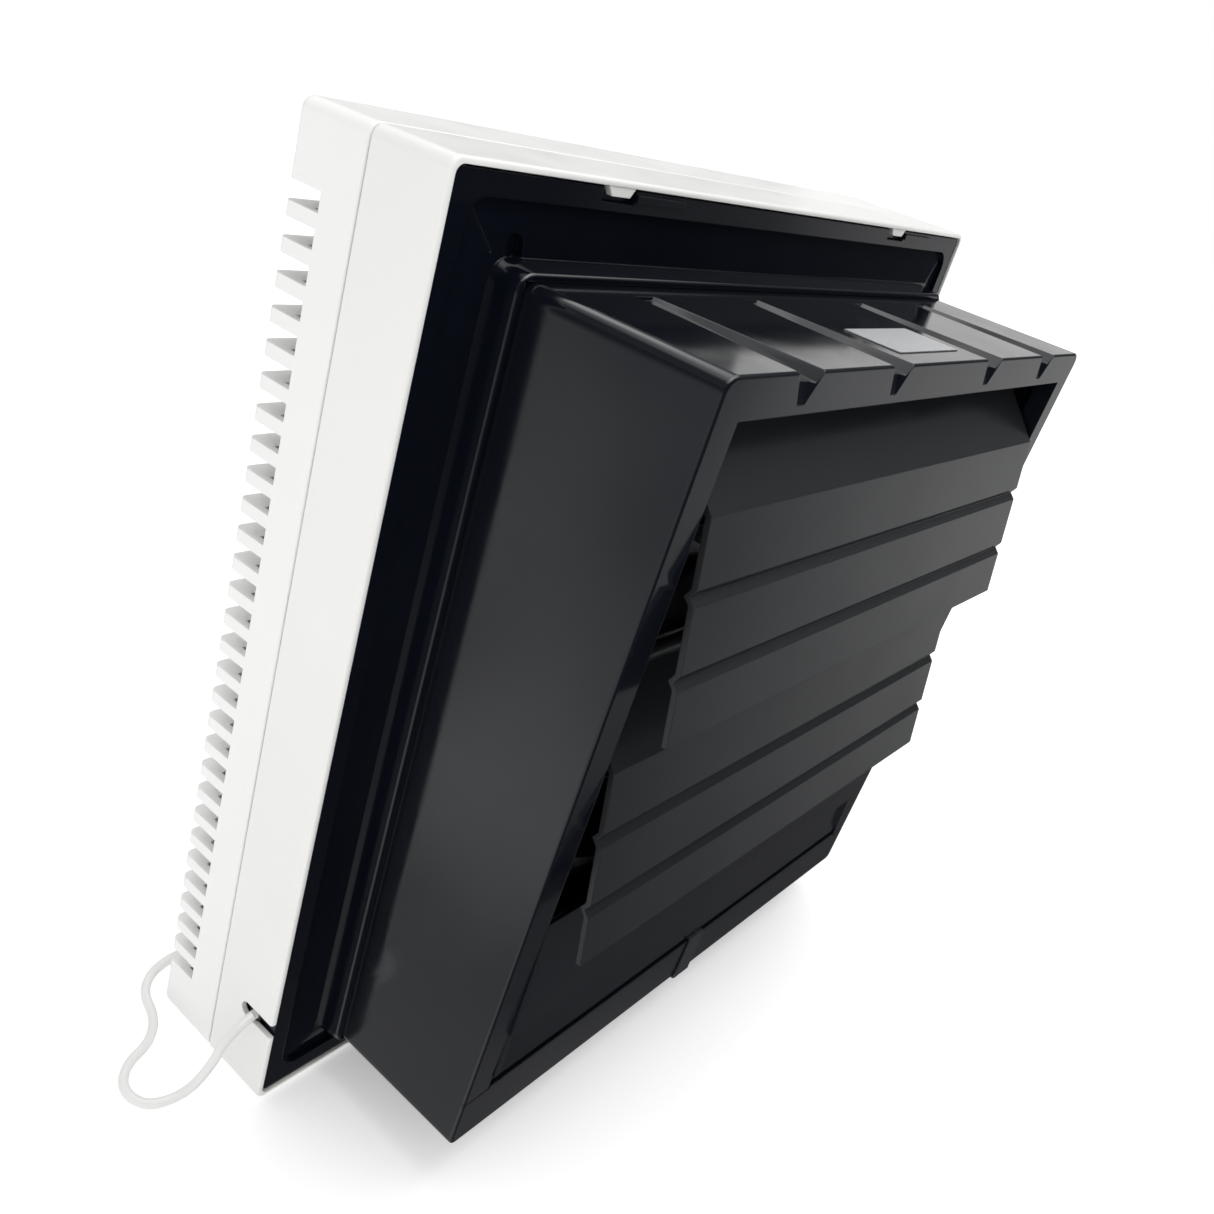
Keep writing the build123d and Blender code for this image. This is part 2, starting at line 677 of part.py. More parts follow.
BLADES = 7
HUB_RADIUS = 36.0
HUB_FRONT = -15.0
HUB_BACK = 11.0
TIP_RADIUS = RING_RADIUS - 4.0
BLADE_WALL = 2.2
BLADE_STATIONS = [(HUB_RADIUS - 1.5, 13, 32), (80, 24, 24), (TIP_RADIUS, 32, 17)]  # radius, half chord, pitch


def blade_section(radius, half_chord, pitch_deg):
    """A slim blade section on the plane that faces along X at the given radius."""
    rise = math.radians(pitch_deg)
    along = Vector(math.cos(rise) * half_chord, math.sin(rise) * half_chord)
    across = Vector(-math.sin(rise), math.cos(rise)) * (BLADE_WALL / 2)
    camber = across * 2.4
    upper = [across - along, camber + across, along + across]
    lower = [along - across, camber - across, across * -1 - along]
    outline = Polyline(*[(point.X, point.Y) for point in upper + lower], close=True)
    return Plane(origin=(radius, 0, 0), x_dir=(0, 0, 1), z_dir=(1, 0, 0)) * make_face(outline)


def impeller():
    """The fan wheel: a cup-shaped hub and seven twisted blades."""
    hub = rod_y(HUB_RADIUS, HUB_FRONT, HUB_BACK)
    hub = fillet(hub.faces().sort_by(Axis.Y)[0].edges(), 6)
    hub -= rod_y(HUB_RADIUS - 2.5, HUB_FRONT + 3, HUB_BACK + 1)
    hub += rod_y(8.5, HUB_FRONT + 2, HUB_BACK)
    blade = loft([blade_section(*station) for station in BLADE_STATIONS])
    wheel = hub
    for i in range(BLADES):
        wheel += Pos(0, -2, 0) * (Rot(0, i * 360 / BLADES, 0) * blade)
    return wheel - rod_y(SHAFT_RADIUS, HUB_FRONT - 1, HUB_BACK + 1)


def hub_nut():
    """The nut that holds the wheel on the shaft."""
    nut = prism(RegularPolygon(6.5, 6), HUB_FRONT - 5.1, HUB_FRONT - 0.1)
    return nut - rod_y(SHAFT_RADIUS, HUB_FRONT - 6, HUB_FRONT)


# ---------------------------------------------------------------- motor
MOTOR_SCREW_R = 37.0
STATOR_OUT = 34.0
STATOR_IN = 21.0
TOOTH_MID = (STATOR_OUT + STATOR_IN) / 2
ROTOR_RADIUS = 20.4
TEETH = 9
STACK = (24.0, 36.0)  # y range of the stator's laminations


def motor_screw_places():
    """Three long screws round the motor."""
    angles = [math.radians(90 + 120 * i) for i in range(3)]
    return [(MOTOR_SCREW_R * math.cos(a), MOTOR_SCREW_R * math.sin(a)) for a in angles]


def motor_half(y0, y1, closed_at):
    """One cup of the motor's case, with a seat for its bearing in the closed end."""
    cup = rod_y(MOTOR_RADIUS, y0, y1)
    end_face = cup.faces().sort_by(Axis.Y)[0 if closed_at == y0 else -1]
    cup = fillet(end_face.edges(), 3)
    low = y0 + MOTOR_WALL if closed_at == y0 else y0 - 1
    high = y1 + 1 if closed_at == y0 else y1 - MOTOR_WALL
    cup -= rod_y(MOTOR_RADIUS - MOTOR_WALL, low, high)
    if closed_at == y0:
        seat = (y0 + 1, y0 + MOTOR_WALL + BEARING_WIDTH)
    else:
        seat = (y1 - MOTOR_WALL - BEARING_WIDTH, y1 - 1)
    cup += rod_y(BEARING_RADIUS + 2, seat[0], seat[1])
    bore = (seat[0] + 1.5, seat[1] + 1) if closed_at == y0 else (seat[0] - 1, seat[1] - 1.5)
    cup -= rod_y(BEARING_RADIUS, bore[0], bore[1])
    cup -= rod_y(SHAFT_RADIUS + 1.5, y0 - 1, y1 + 1)
    for x, z in motor_screw_places():
        cup -= rod_y(FOOT_SCREW_HOLE, y0 - 1, y1 + 1, x, z)
    x, y, z = MOTOR_LEAD[-1]
    return cup - (Pos(x, y, z) * Cylinder(MOTOR_LEAD_DIAMETER / 2 + 0.05, 8))


def motor_front_shell():
    """The half of the motor case that faces the fan wheel."""
    return motor_half(MOTOR_FRONT, MOTOR_SPLIT, MOTOR_FRONT)


def motor_rear_shell():
    """The half of the motor case that faces the room."""
    return motor_half(MOTOR_SPLIT + 0.1, MOTOR_BACK, MOTOR_BACK)


def bearing(y0):
    """A ball bearing as one closed ring."""
    ring = rod_y(BEARING_RADIUS, y0, y0 + BEARING_WIDTH)
    return ring - rod_y(SHAFT_RADIUS + RUNNING, y0 - 1, y0 + BEARING_WIDTH + 1)


def stator_core():
    """The laminated stator: a ring with nine teeth."""
    core = Circle(STATOR_OUT) - Circle(STATOR_OUT - 4)
    for i in range(TEETH):
        angle = 360 / TEETH * i
        core += Rot(0, 0, angle) * Pos(TOOTH_MID, 0) * Rectangle(STATOR_OUT - STATOR_IN - 1, 4)
        core += Rot(0, 0, angle) * Pos(STATOR_IN + 1, 0) * Rectangle(2, 11)
    return prism(core, STACK[0], STACK[1])


def stator_coils():
    """A copper winding round each tooth."""
    coils = []
    for i in range(TEETH):
        turn = Rot(0, 0, 360 / TEETH * i)
        winding = turn * Pos(TOOTH_MID - 1, 0) * Rectangle(6.0, 9.4)
        tooth = turn * Pos(TOOTH_MID, 0) * Rectangle(20, 4.2)
        around = prism(winding, STACK[0] - 2.5, STACK[1] + 2.5)
        coils.append(around - prism(tooth, STACK[0] - 0.1, STACK[1] + 0.1))
    return group(coils)


def rotor_magnet():
    """The magnet ring pressed on the shaft."""
    return rod_y(ROTOR_RADIUS, STACK[0], STACK[1]) - rod_y(SHAFT_RADIUS, STACK[0] - 1, STACK[1] + 1)


def motor_shaft():
    """The steel shaft from the rear bearing to the hub nut."""
    shaft = rod_y(SHAFT_RADIUS, HUB_FRONT - 7, MOTOR_BACK - 1.5)
    return chamfer(shaft.faces().sort_by(Axis.Y)[0].edges(), 0.6)


def spider_bracket():
    """The four-armed steel bracket that carries the motor."""
    y0 = MOTOR_BACK + 0.1
    y1 = y0 + ARM_THICKNESS
    leg = FOOT_RADIUS - 10
    foot_y = ORIFICE_BACK + 5.2
    ring = rod_y(MOTOR_RADIUS - 1, y0, y1) - rod_y(BEARING_RADIUS + 6, y0 - 1, y1 + 1)
    arm = block((MOTOR_RADIUS - 5, leg + ARM_THICKNESS), (y0, y1), (-ARM_WIDTH / 2, ARM_WIDTH / 2))
    upright = block((leg, leg + ARM_THICKNESS), (foot_y, y1), (-ARM_WIDTH / 2, ARM_WIDTH / 2))
    foot = block((leg, LEDGE_HALF - 2), (foot_y, foot_y + ARM_THICKNESS), (-ARM_WIDTH / 2, ARM_WIDTH / 2))
    foot -= rod_y(FOOT_SCREW_HOLE, foot_y - 1, foot_y + ARM_THICKNESS + 1, FOOT_RADIUS, 0)
    limb = arm + upright + foot
    bracket = ring
    for i in range(4):
        bracket += Rot(0, 90 * i, 0) * limb
    for x, z in motor_screw_places():
        bracket -= rod_y(FOOT_SCREW_HOLE, y0 - 1, y1 + 1, x, z)
    return bracket


def rubber_mounts():
    """Four rubber buffers under the bracket's feet."""
    y0 = ORIFICE_BACK + 0.1
    buffers = []
    for x, z in foot_places():
        buffers.append(rod_y(7, y0, y0 + 5, x, z) - rod_y(FOOT_SCREW_HOLE, y0 - 1, y0 + 6, x, z))
    return group(buffers)


def bracket_screws():
    """Four screws through the feet and the buffers into the orifice plate."""
    head_y = ORIFICE_BACK + 5.2 + ARM_THICKNESS
    return group(screw(x, z, head_y, 10.0, 2.0, 4.0, 2.6) for x, z in foot_places())


def motor_screws():
    """Three long screws that close the motor and hold it to the bracket."""
    head_y = MOTOR_BACK + 0.1 + ARM_THICKNESS
    length = head_y - MOTOR_FRONT + 1.5
    return group(screw(x, z, head_y, length, 2.0, 3.6, 1.9) for x, z in motor_screw_places())


# ---------------------------------------------------------------- wiring
BOX_X = (-157.0, -108.0)
BOX_Z = (-150.5, -108.0)
BOX_Y = (ORIFICE_BACK + 0.1, 34.0)
BOX_WALL = 2.0
BLOCK_X = (-144.0, -122.0)
LEAD_CORNERS = (-160.0, -150.0)  # where the lead starts and ends its climb
MOTOR_LEAD_DIAMETER = 3.2
MOTOR_LEAD = [
    (BOX_X[1] - BOX_WALL - 1, BOX_Y[0] + 5.0, -133.0),
    (0.0, BOX_Y[0] + 5.0, -133.0),
    (0.0, MOTOR_BACK - 1.7, -133.0),
    (0.0, MOTOR_BACK - 1.7, -62.0),
    (0.0, MOTOR_SPLIT + 6.0, -52.0),
    (0.0, MOTOR_SPLIT + 6.0, -MOTOR_RADIUS + 1.0),
]
MOTOR_LEAD_BENDS = [10.0, 10.0, 10.0, 10.0]
LEAD_RISE = 5.5  # the lead climbs this far from the notch's depth to the terminal block


def terminal_box():
    """The box that takes the cord and holds the driver board."""
    box = block(BOX_X, BOX_Y, BOX_Z)
    inside_x = (BOX_X[0] + BOX_WALL, BOX_X[1] - BOX_WALL)
    inside_z = (BOX_Z[0] + BOX_WALL, BOX_Z[1] - BOX_WALL)
    box -= block(inside_x, (BOX_Y[0] + BOX_WALL, BOX_Y[1] + 1), inside_z)
    for x, z in box_screw_places():
        box += rod_y(2.6, BOX_Y[0] + 1, BOX_Y[1], x, z)
    for x, z in box_screw_places():
        box -= rod_y(1.1, BOX_Y[1] - 9, BOX_Y[1] + 1, x, z)
    lead_slot = CORD_DIAMETER / 2 + 0.4
    y = (BOX_Y[0] - 1, CORD_Y + lead_slot + 4.0)
    box -= block((BOX_X[0] - 1, LEAD_CORNERS[1]), y, (CORD_Z - lead_slot, CORD_Z + lead_slot))
    x, y, z = MOTOR_LEAD[0]
    return box - rod_x(MOTOR_LEAD_DIAMETER / 2 + 0.1, x - 1, BOX_X[1] + 1, y, z)


def box_screw_places():
    """The four corner posts of the terminal box."""
    xs = (BOX_X[0] + BOX_WALL + 1.5, BOX_X[1] - BOX_WALL - 1.5)
    zs = (BOX_Z[0] + BOX_WALL + 1.5, BOX_Z[1] - BOX_WALL - 1.5)
    return [(x, z) for x in xs for z in zs]


def terminal_cover():
    """The lid of the terminal box."""
    lid = block(BOX_X, (BOX_Y[1] + 0.1, BOX_Y[1] + 2.1), BOX_Z)
    lid = fillet(lid.faces().sort_by(Axis.Y)[-1].edges(), 0.8)
    for x, z in box_screw_places():
        lid -= rod_y(1.4, BOX_Y[1], BOX_Y[1] + 3, x, z)
    return lid


def cover_screws():
    """Four small screws in the lid."""
    return group(screw(x, z, BOX_Y[1] + 2.1, 9.0, 1.1, 2.2, 1.3) for x, z in box_screw_places())


def driver_board():
    """The circuit board that drives the motor."""
    y = BOX_Y[0] + BOX_WALL + 8
    board = block((-145, -118), (y, y + 1.6), (BOX_Z[0] + 3, BOX_Z[1] - 3))
    board += block((-134, -128), (y + 1, y + 8), (-127, -121))
    board += rod_y(4, y + 1, y + 10, -124.5, -139)
    return board + block((-141, -133), (y + 1, y + 4), (-146, -138))


def terminal_block():
    """The screw terminal where the cord and the motor lead meet."""
    y = BOX_Y[0] + BOX_WALL + 0.1
    x0 = BLOCK_X[0]
    body = block(BLOCK_X, (y, y + 7.5), (CORD_Z - 6, CORD_Z + 6))
    for i in range(3):
        body -= rod_y(2, y + 5, y + 8, x0 + 4 + 7 * i, CORD_Z)
    return body


def lead_grommet():
    """The rubber ring round the cord in the body plate's skirt."""
    outer = -PLATE_HALF - 0.05
    ring = rod_x(2.85, -PLATE_HALF, -PLATE_HALF + SKIRT_WALL, CORD_Y, CORD_Z)
    ring += rod_x(2.95, outer - 1.4, outer, CORD_Y, CORD_Z)
    ring += rod_x(2.85, outer - 0.2, outer + 0.2, CORD_Y, CORD_Z)
    return ring - rod_x(CORD_DIAMETER / 2 + 0.02, -HALF, -PLATE_HALF + 6, CORD_Y, CORD_Z)


def tube(points, radii, diameter):
    """A round tube of straight runs joined by tangent arcs, one radius for each corner."""
    path = FilletPolyline(*points, radius=radii)
    first = Vector(*points[1]) - Vector(*points[0])
    return sweep(Plane(origin=points[0], z_dir=first) * Circle(diameter / 2), path=path)


def route_radii(points):
    """The largest arc each corner leaves room for: 0.45 of its shorter run."""
    radii = []
    for before, here, after in zip(points, points[1:], points[2:]):
        first = Vector(*here) - Vector(*before)
        second = Vector(*after) - Vector(*here)
        turn = math.radians(first.get_angle(second))
        radii.append(0.45 * min(first.length, second.length) / math.tan(turn / 2))
    return radii


def inner_lead():
    """The cord inside the frame, from the notch to the terminal box."""
    high = CORD_Y + LEAD_RISE
    points = [
        (-HALF, CORD_Y, CORD_Z),
        (LEAD_CORNERS[0], CORD_Y, CORD_Z),
        (LEAD_CORNERS[1], high, CORD_Z),
        (BLOCK_X[0], high, CORD_Z),
    ]
    return tube(points, route_radii(points), CORD_DIAMETER)


def motor_lead():
    """The lead from the terminal box, along the lower bracket arm, to the motor."""
    return tube(MOTOR_LEAD, MOTOR_LEAD_BENDS, MOTOR_LEAD_DIAMETER)


def lead_ties():
    """Two ties that hold the motor lead under the bracket's lower arm."""
    y0 = MOTOR_BACK - 1.7 - MOTOR_LEAD_DIAMETER / 2 - 0.05
    y1 = MOTOR_BACK + 0.1 + ARM_THICKNESS + 0.05
    half = ARM_WIDTH / 2 + 0.1
    ties = []
    for z in (-118.0, -76.0):
        outside = block((-half - 1, half + 1), (y0 - 1, y1 + 1), (z - 1.5, z + 1.5))
        ties.append(outside - block((-half, half), (y0, y1), (z - 2, z + 2)))
    return group(ties)


# ---------------------------------------------------------------- free cord
CORD_REST = 0.1  # air left under whatever lies on the floor
CORD_REST_Z = FLOOR_Z + CORD_REST + CORD_DIAMETER / 2
TIE_WALL = 0.9
COIL_LAYERS = 2
COIL_ROWS = 4  # turns side by side in a layer
COIL_TURNS = COIL_LAYERS * COIL_ROWS
COIL_WIDTH = COIL_ROWS * CORD_DIAMETER
COIL_HEIGHT = COIL_LAYERS * CORD_DIAMETER
COIL_MID = 21.5  # radius at the middle of the turns
COIL_FOOT = FLOOR_Z + CORD_REST + TIE_WALL
COIL_X = -92.0
COIL_Y = 104.0
ENTRY_Y = COIL_Y - COIL_MID - (COIL_WIDTH - CORD_DIAMETER) / 2  # on the outermost turn
ENTRY_Z = COIL_FOOT + CORD_DIAMETER / 2
ENTRY_X = COIL_X - 12.0
ROUTE = [
    (-HALF, CORD_Y, CORD_Z),
    (-183.0, CORD_Y, CORD_Z - 4.3),
    (-186.5, CORD_Y + 1.0, CORD_Z - 17.0),
    (-192.5, CORD_Y + 5.0, CORD_REST_Z + 2.0),
    (-205.5, 20.0, CORD_REST_Z),
    (-208.5, 31.5, CORD_REST_Z),
    (-201.5, 40.5, CORD_REST_Z),
    (-189.0, 44.5, CORD_REST_Z),
    (-181.0, 54.0, CORD_REST_Z),
    (-178.0, 68.0, CORD_REST_Z),
    (-166.0, ENTRY_Y, CORD_REST_Z),
    (-142.0, ENTRY_Y, CORD_REST_Z),
    (ENTRY_X, ENTRY_Y, ENTRY_Z),
]

PLUG_Z = FLOOR_Z + CORD_REST + 5.0
PLUG_X = -50.0
TAIL = [
    (COIL_X + 12.0, ENTRY_Y, COIL_FOOT + 1.5 * CORD_DIAMETER),
    (PLUG_X - 20.0, ENTRY_Y, COIL_FOOT + 1.5 * CORD_DIAMETER),
    (PLUG_X - 10.0, ENTRY_Y, PLUG_Z),
    (PLUG_X, ENTRY_Y, PLUG_Z),
]


def cord_tube():
    """The free cord, from the notch down to the floor and round to its coil."""
    radii = route_radii(ROUTE)
    solid = tube(ROUTE, radii, CORD_DIAMETER)
    path = FilletPolyline(*ROUTE, radius=radii)
    print("cord radii", [round(r, 1) for r in radii])
    print("cord length", round(path.length, 1))
    section = math.pi * CORD_DIAMETER**2 / 4
    print("volume over section times length", round(solid.volume / (section * path.length), 4))
    return solid


def cord_tail():
    """The last of the cord, from the coil to the plug."""
    return tube(TAIL, route_radii(TAIL), CORD_DIAMETER)


def coil_ring(section, radius):
    """A ring swept from a section about the coil's upright axis."""
    placed = Plane.XZ * Pos(radius, COIL_FOOT + COIL_HEIGHT / 2) * section
    return Pos(COIL_X, COIL_Y, 0) * revolve(placed, Axis.Z)


def cord_coil():
    """The spare cord as one closed ring, notched where the cord enters and leaves it."""
    ring = coil_ring(RectangleRounded(COIL_WIDTH, COIL_HEIGHT, 1.6), COIL_MID)
    print("coil length", round(COIL_TURNS * 2 * math.pi * COIL_MID, 1))
    return ring - cord_tube() - cord_tail()


def coil_tie():
    """The band that holds the coil's turns together."""
    wide = COIL_WIDTH / 2 + TIE_WALL - 0.05
    high = COIL_HEIGHT / 2 + TIE_WALL - 0.05
    middle = COIL_FOOT + COIL_HEIGHT / 2
    x = COIL_X + COIL_MID
    band = block((x - wide, x + wide), (COIL_Y - 3, COIL_Y + 3), (middle - high, middle + high))
    return band - coil_ring(Rectangle(COIL_WIDTH + 0.04, COIL_HEIGHT + 0.04), COIL_MID)


def dc_plug():
    """The round plug at the cord's end: strain relief, grip and barrel."""
    grip = (PLUG_X + 12, PLUG_X + 34)
    relief = Plane.YZ.offset(PLUG_X) * Pos(ENTRY_Y, PLUG_Z) * Circle(2.6)
    shoulder = Plane.YZ.offset(grip[0] + 0.01) * Pos(ENTRY_Y, PLUG_Z) * Circle(4.0)
    plug = loft([relief, shoulder])
    body = rod_x(5.0, grip[0], grip[1], ENTRY_Y, PLUG_Z)
    body = fillet(body.edges().filter_by(GeomType.CIRCLE), 0.8)
    barrel = rod_x(2.75, grip[1] - 1, grip[1] + 9.5, ENTRY_Y, PLUG_Z)
    barrel -= rod_x(1.05, grip[1] + 1, grip[1] + 10, ENTRY_Y, PLUG_Z)
    return plug + body + barrel


def main():
    os.makedirs("parts", exist_ok=True)
    makers = [
        frame_shell, room_grille, body_plate, hood_shell, lower_apron, apron_clip, rating_label,
        flap_bushes, orifice_plate, plate_screws, frame_screws, impeller, hub_nut,
        motor_front_shell, motor_rear_shell, stator_core, stator_coils, rotor_magnet, motor_shaft,
        spider_bracket, rubber_mounts, bracket_screws, motor_screws, terminal_box, terminal_cover,
        cover_screws, driver_board, terminal_block, lead_grommet, inner_lead, motor_lead, lead_ties,
        cord_tube, cord_coil, coil_tie, cord_tail, dc_plug,
    ]
    for make in makers:
        save(make(), make.__name__)
    for name, hinge_z in zip(("upper", "lower"), hinge_heights()):
        save(flap(hinge_z), f"flap_{name}")
        save(flap_pins(hinge_z), f"flap_pins_{name}")
    save(bearing(MOTOR_FRONT + 2.5), "bearing_front")
    save(bearing(MOTOR_BACK - 2.5 - BEARING_WIDTH), "bearing_rear")


main()
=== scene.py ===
import math

import bpy
from mathutils import Matrix, Vector


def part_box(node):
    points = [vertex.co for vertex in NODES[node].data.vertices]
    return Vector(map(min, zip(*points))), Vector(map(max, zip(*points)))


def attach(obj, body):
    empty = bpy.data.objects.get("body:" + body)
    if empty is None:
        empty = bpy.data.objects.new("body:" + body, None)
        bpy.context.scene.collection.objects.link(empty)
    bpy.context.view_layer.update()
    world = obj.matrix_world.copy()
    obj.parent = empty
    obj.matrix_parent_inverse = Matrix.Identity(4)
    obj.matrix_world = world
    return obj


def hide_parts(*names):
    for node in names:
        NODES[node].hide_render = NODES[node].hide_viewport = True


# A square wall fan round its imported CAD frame. The camera and the cord are measured from the white
# frame's rim: at() takes millimetres from the centre of the rim's face, as the part's source does.

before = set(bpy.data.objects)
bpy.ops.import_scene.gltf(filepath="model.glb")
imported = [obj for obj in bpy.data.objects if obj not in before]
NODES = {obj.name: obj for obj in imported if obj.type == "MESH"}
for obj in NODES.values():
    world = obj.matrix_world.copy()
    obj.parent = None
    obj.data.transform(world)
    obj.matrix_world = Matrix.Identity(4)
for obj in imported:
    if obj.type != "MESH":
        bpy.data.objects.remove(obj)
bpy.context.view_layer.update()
MM = 0.001

FRAME_LOW, FRAME_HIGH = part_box("frame_shell")
RIM = Vector((0.0, FRAME_LOW.y, (FRAME_LOW.z + FRAME_HIGH.z) / 2))
HALF = (FRAME_HIGH.z - FRAME_LOW.z) / 2 / MM


def at(x, y, z):
    """A point in the row frame, from millimetres about the centre of the rim's face."""
    return RIM + Vector((x, y, z)) * MM


def new_object(name, data):
    """Puts new data into the scene as an object."""
    made = bpy.data.objects.new(name, data)
    bpy.context.scene.collection.objects.link(made)
    return made


# ---------------------------------------------------------------- camera
CAMERA_PLACE = (-396.2, -219.9, 207.8)
CAMERA_HEADING = 58.45  # degrees from +Y towards +X
CAMERA_PITCH = -24.95
CAMERA_ROLL = 17.33
LENS = 34.62
SENSOR = 36.0
CLIP_START = 0.01  # metres, as is the next one
CLIP_END = 50.0


def add_camera():
    """The photograph's viewpoint."""
    data = bpy.data.cameras.new("camera")
    data.lens = LENS
    data.sensor_width = SENSOR
    data.clip_start = CLIP_START
    data.clip_end = CLIP_END
    camera = new_object("camera", data)
    turn = Matrix.Rotation(math.radians(-CAMERA_HEADING), 4, "Z")
    turn @= Matrix.Rotation(math.radians(90 + CAMERA_PITCH), 4, "X")
    turn @= Matrix.Rotation(math.radians(CAMERA_ROLL), 4, "Z")
    camera.matrix_world = Matrix.Translation(at(*CAMERA_PLACE)) @ turn
    bpy.context.scene.camera = camera


add_camera()

# ---------------------------------------------------------------- cord
CORD_DIAMETER = 3.6
CORD_Y = 10.5  # the notch that the cord leaves by
CORD_Z = -137.0
FLOOR_Z = -HALF
CORD_REST = 0.1  # air left under whatever lies on the floor
CORD_REST_Z = FLOOR_Z + CORD_REST + CORD_DIAMETER / 2
TIE_WALL = 0.9  # the tie goes under the coil
COIL_X = -92.0
COIL_Y = 104.0
COIL_MID = 21.5  # radius at the middle of the turns
COIL_LAYERS = 2
COIL_ROWS = 4  # turns side by side in a layer
COIL_TURNS = COIL_LAYERS * COIL_ROWS
COIL_FOOT = FLOOR_Z + CORD_REST + TIE_WALL
TURN_POINTS = 16  # control points to a turn
ENTRY_Y = COIL_Y - COIL_MID - (COIL_ROWS - 1) / 2 * CORD_DIAMETER  # on the outermost turn
PLUG_RADIUS = 5.0
PLUG_X = -50.0
PLUG_Z = FLOOR_Z + CORD_REST + PLUG_RADIUS
ROUTE = [
    (-HALF, CORD_Y, CORD_Z),
    (-183.0, CORD_Y, CORD_Z - 4.3),
    (-186.5, CORD_Y + 1.0, CORD_Z - 17.0),
    (-192.5, CORD_Y + 5.0, CORD_REST_Z + 2.0),
    (-205.5, 20.0, CORD_REST_Z),
    (-208.5, 31.5, CORD_REST_Z),
    (-201.5, 40.5, CORD_REST_Z),
    (-189.0, 44.5, CORD_REST_Z),
    (-181.0, 54.0, CORD_REST_Z),
    (-178.0, 68.0, CORD_REST_Z),
    (-166.0, ENTRY_Y, CORD_REST_Z),
    (-142.0, ENTRY_Y, CORD_REST_Z),
]
TAIL = [
    (PLUG_X - 20.0, ENTRY_Y, COIL_FOOT + 1.5 * CORD_DIAMETER),
    (PLUG_X - 10.0, ENTRY_Y, PLUG_Z),
    (PLUG_X, ENTRY_Y, PLUG_Z),
]
SPLINE_STEPS = 12  # from one control point to the next
ROUND_STEPS = 6  # as Blender counts them, which gives the cord 16 sides


def coil_points():
    """Control points of the coil's turns: a layer wound inward, then one wound outward on it."""
    step = 2 * math.pi / TURN_POINTS
    outer = (COIL_ROWS - 1) / 2
    grow = 1 / math.cos(step / 2)  # a spline runs inside its control points
    points = []
    for i in range(COIL_TURNS * TURN_POINTS + 1):
        turn = i / TURN_POINTS
        row = min(turn, COIL_TURNS - turn)
        radius = (COIL_MID + (outer - row * (COIL_ROWS - 1) / COIL_ROWS) * CORD_DIAMETER) * grow
        rise = min(1.0, max(0.0, turn - COIL_ROWS + 0.5))  # one turn long, about the change of layers
        z = COIL_FOOT + CORD_DIAMETER * (0.5 + rise)
        angle = -math.pi / 2 + step * i
        points.append((COIL_X + radius * math.cos(angle), COIL_Y + radius * math.sin(angle), z))
    return points


def nurbs(name, points, radius):
    """A round tube along a smooth spline through control points in millimetres."""
    curve = bpy.data.curves.new(name, "CURVE")
    curve.dimensions = "3D"
    spline = curve.splines.new("NURBS")
    spline.points.add(len(points) - 1)
    for target, point in zip(spline.points, points):
        target.co = (*at(*point), 1.0)
    spline.order_u = 3
    spline.use_endpoint_u = True
    spline.resolution_u = SPLINE_STEPS
    curve.bevel_depth = radius * MM
    curve.bevel_resolution = ROUND_STEPS
    curve.use_fill_caps = True
    return new_object(name, curve)


# ---------------------------------------------------------------- material nodes
# the Mix node's sockets when it mixes colours
MIX_SHARE = 0
MIX_LOW = 6
MIX_HIGH = 7
MIX_RESULT = 2

NOISE_SPREAD = (0.3, 0.7)  # most of a noise's values are in here

# noises, each as its scale and its detail
MOTTLE = (9.0, 4.0)
SMEAR = (38.0, 5.0)
SINKS = (14.0, 1.0)
GRAIN = (2600.0, 2.0)
LINES = (260.0, 4.0)

# depths of bumps in millimetres
SINK_DEPTH = 1.0
GRAIN_DEPTH = 0.02
LINE_DEPTH = 0.05

LINE_STRENGTH = 0.15
METAL_BEVEL = 0.2
BEVEL_SAMPLES = 4
PLASTIC_IOR = 1.5
COAT_ROUGHNESS = 0.08


def tree_of(name):
    """A new material, its node tree and its shader, which is linked to the output."""
    material = bpy.data.materials.new(name)
    material.use_nodes = True
    nodes = material.node_tree.nodes
    nodes.clear()
    output = nodes.new("ShaderNodeOutputMaterial")
    shader = nodes.new("ShaderNodeBsdfPrincipled")
    material.node_tree.links.new(shader.outputs["BSDF"], output.inputs["Surface"])
    return material, material.node_tree, shader


def noise(tree, scale, detail, stretch=None, space="Object"):
    """Noise over a space; in the part's own one, its scale is in waves per metre."""
    place = tree.nodes.new("ShaderNodeTexCoord")
    texture = tree.nodes.new("ShaderNodeTexNoise")
    texture.inputs["Scale"].default_value = scale
    texture.inputs["Detail"].default_value = detail
    source = place.outputs[space]
    if stretch:
        mapping = tree.nodes.new("ShaderNodeMapping")
        mapping.inputs["Scale"].default_value = stretch
        tree.links.new(source, mapping.inputs["Vector"])
        source = mapping.outputs["Vector"]
    tree.links.new(source, texture.inputs["Vector"])
    return texture.outputs["Fac"]


def ranged(tree, value, target, source=NOISE_SPREAD):
    """Maps a linked value from a source range to a target range, and holds it there."""
    node = tree.nodes.new("ShaderNodeMapRange")
    node.inputs["From Min"].default_value = source[0]
    node.inputs["From Max"].default_value = source[1]
    node.inputs["To Min"].default_value = target[0]
    node.inputs["To Max"].default_value = target[1]
    tree.links.new(value, node.inputs["Value"])
    return node.outputs["Result"]


def mixed(tree, share, low, high):
    """Mixes two colours, each linked or three plain numbers, by a linked share."""
    node = tree.nodes.new("ShaderNodeMix")
    node.data_type = "RGBA"
    for socket, colour in ((node.inputs[MIX_LOW], low), (node.inputs[MIX_HIGH], high)):
        if isinstance(colour, tuple):
            socket.default_value = (*colour, 1)
        else:
            tree.links.new(colour, socket)
    tree.links.new(share, node.inputs[MIX_SHARE])
    return node.outputs[MIX_RESULT]


